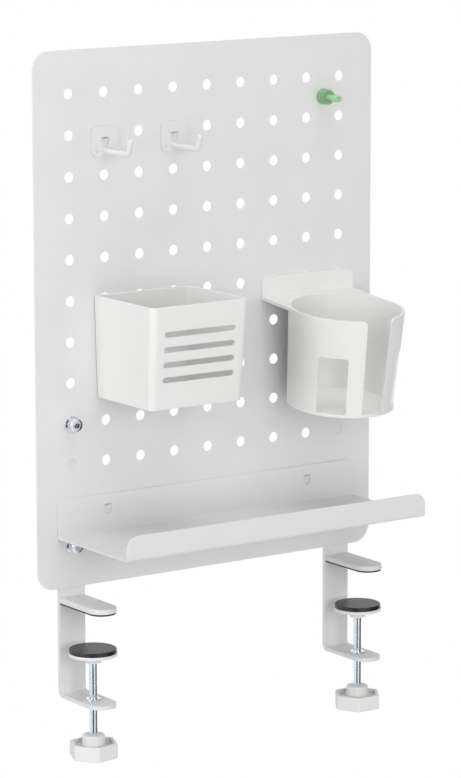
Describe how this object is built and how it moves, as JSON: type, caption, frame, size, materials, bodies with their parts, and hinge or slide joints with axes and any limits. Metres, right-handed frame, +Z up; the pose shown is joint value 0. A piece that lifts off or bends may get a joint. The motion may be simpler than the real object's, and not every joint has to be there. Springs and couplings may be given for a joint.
{
  "type": "desk pegboard organizer",
  "caption": "Steel pegboard that clamps to a desk edge and carries a shelf, a slotted pen box, a cup holder, hooks and a magnetic pin.",
  "frame": {"origin": "midway between the two clamps, on the front faces of the clamp arms, at the underside of the upper jaw pads, where a desk top's rear edge lies", "axes": "+X to the user's right, +Y away from the user, +Z up"},
  "size_m": [0.3, 0.1035, 0.5151],
  "materials": {
    "white_steel": "satin powder coat",
    "white_plastic": "satin",
    "black_rubber": "matte",
    "zinc_steel": "zinc plated",
    "green_plastic": "gloss, translucent",
    "magnet": "nickel plated"
  },
  "bodies": {
    "board": {"panel": "white_steel", "left_clamp_arm": "white_steel", "left_upper_jaw": "white_steel", "left_jaw_pad": "black_rubber", "left_thread_bush": "zinc_steel", "right_clamp_arm": "white_steel", "right_upper_jaw": "white_steel", "right_jaw_pad": "black_rubber", "right_thread_bush": "zinc_steel", "clamp_bolts": "zinc_steel", "bolt_washers": "zinc_steel", "bolt_nuts": "zinc_steel"},
    "left_foot": {"left_foot_plate": "white_plastic", "left_foot_pad": "black_rubber"},
    "left_clamp_screw": {"left_screw": "zinc_steel", "left_screw_cap": "zinc_steel", "left_knob": "white_plastic"},
    "left_hook": {"left_hook_plate": "white_steel", "left_hook_rod": "white_steel"},
    "right_foot": {"right_foot_plate": "white_plastic", "right_foot_pad": "black_rubber"},
    "right_clamp_screw": {"right_screw": "zinc_steel", "right_screw_cap": "zinc_steel", "right_knob": "white_plastic"},
    "right_hook": {"right_hook_plate": "white_steel", "right_hook_rod": "white_steel"},
    "shelf_body": {"shelf": "white_steel"},
    "pen_box_body": {"pen_box": "white_plastic"},
    "cup_holder_body": {"cup_holder": "white_plastic"},
    "pin": {"pin_grip": "green_plastic", "pin_magnet": "magnet"}
  },
  "joints": [
    {"name": "left_foot_slide", "type": "slide", "parent": "board", "child": "left_foot", "axis": [0, 0, 1], "range_m": [-0.0266, 0.0207]},
    {"name": "left_screw_turn", "type": "hinge", "parent": "left_foot", "child": "left_clamp_screw", "pos_m": [-0.12, -0.0274, -0.08], "axis": [0, 0, 1], "range_deg": [-9576, 7452]},
    {"name": "right_foot_slide", "type": "slide", "parent": "board", "child": "right_foot", "axis": [0, 0, 1], "range_m": [-0.0266, 0.0207]},
    {"name": "right_screw_turn", "type": "hinge", "parent": "right_foot", "child": "right_clamp_screw", "pos_m": [0.12, -0.0274, -0.08], "axis": [0, 0, 1], "range_deg": [-9576, 7452]},
    {"name": "shelf_lift", "type": "slide", "parent": "board", "child": "shelf_body", "axis": [0, 0, 1], "range_m": [0, 0.00385]},
    {"name": "pen_box_lift", "type": "slide", "parent": "board", "child": "pen_box_body", "axis": [0, 0, 1], "range_m": [0, 0.00385]},
    {"name": "cup_holder_lift", "type": "slide", "parent": "board", "child": "cup_holder_body", "axis": [0, 0, 1], "range_m": [0, 0.00385]},
    {"name": "left_hook_lift", "type": "slide", "parent": "board", "child": "left_hook", "axis": [0, 0, 1], "range_m": [0, 0.00385]},
    {"name": "right_hook_lift", "type": "slide", "parent": "board", "child": "right_hook", "axis": [0, 0, 1], "range_m": [0, 0.00385]},
    {"name": "pin_pull", "type": "slide", "parent": "board", "child": "pin", "axis": [0, -1, 0], "range_m": [0, 0.02]}
  ],
  "couplings": [
    {"joint": "left_foot_slide", "follows": "left_screw_turn", "m_per_rad": 0.00015915},
    {"joint": "right_foot_slide", "follows": "right_screw_turn", "m_per_rad": 0.00015915}
  ]
}
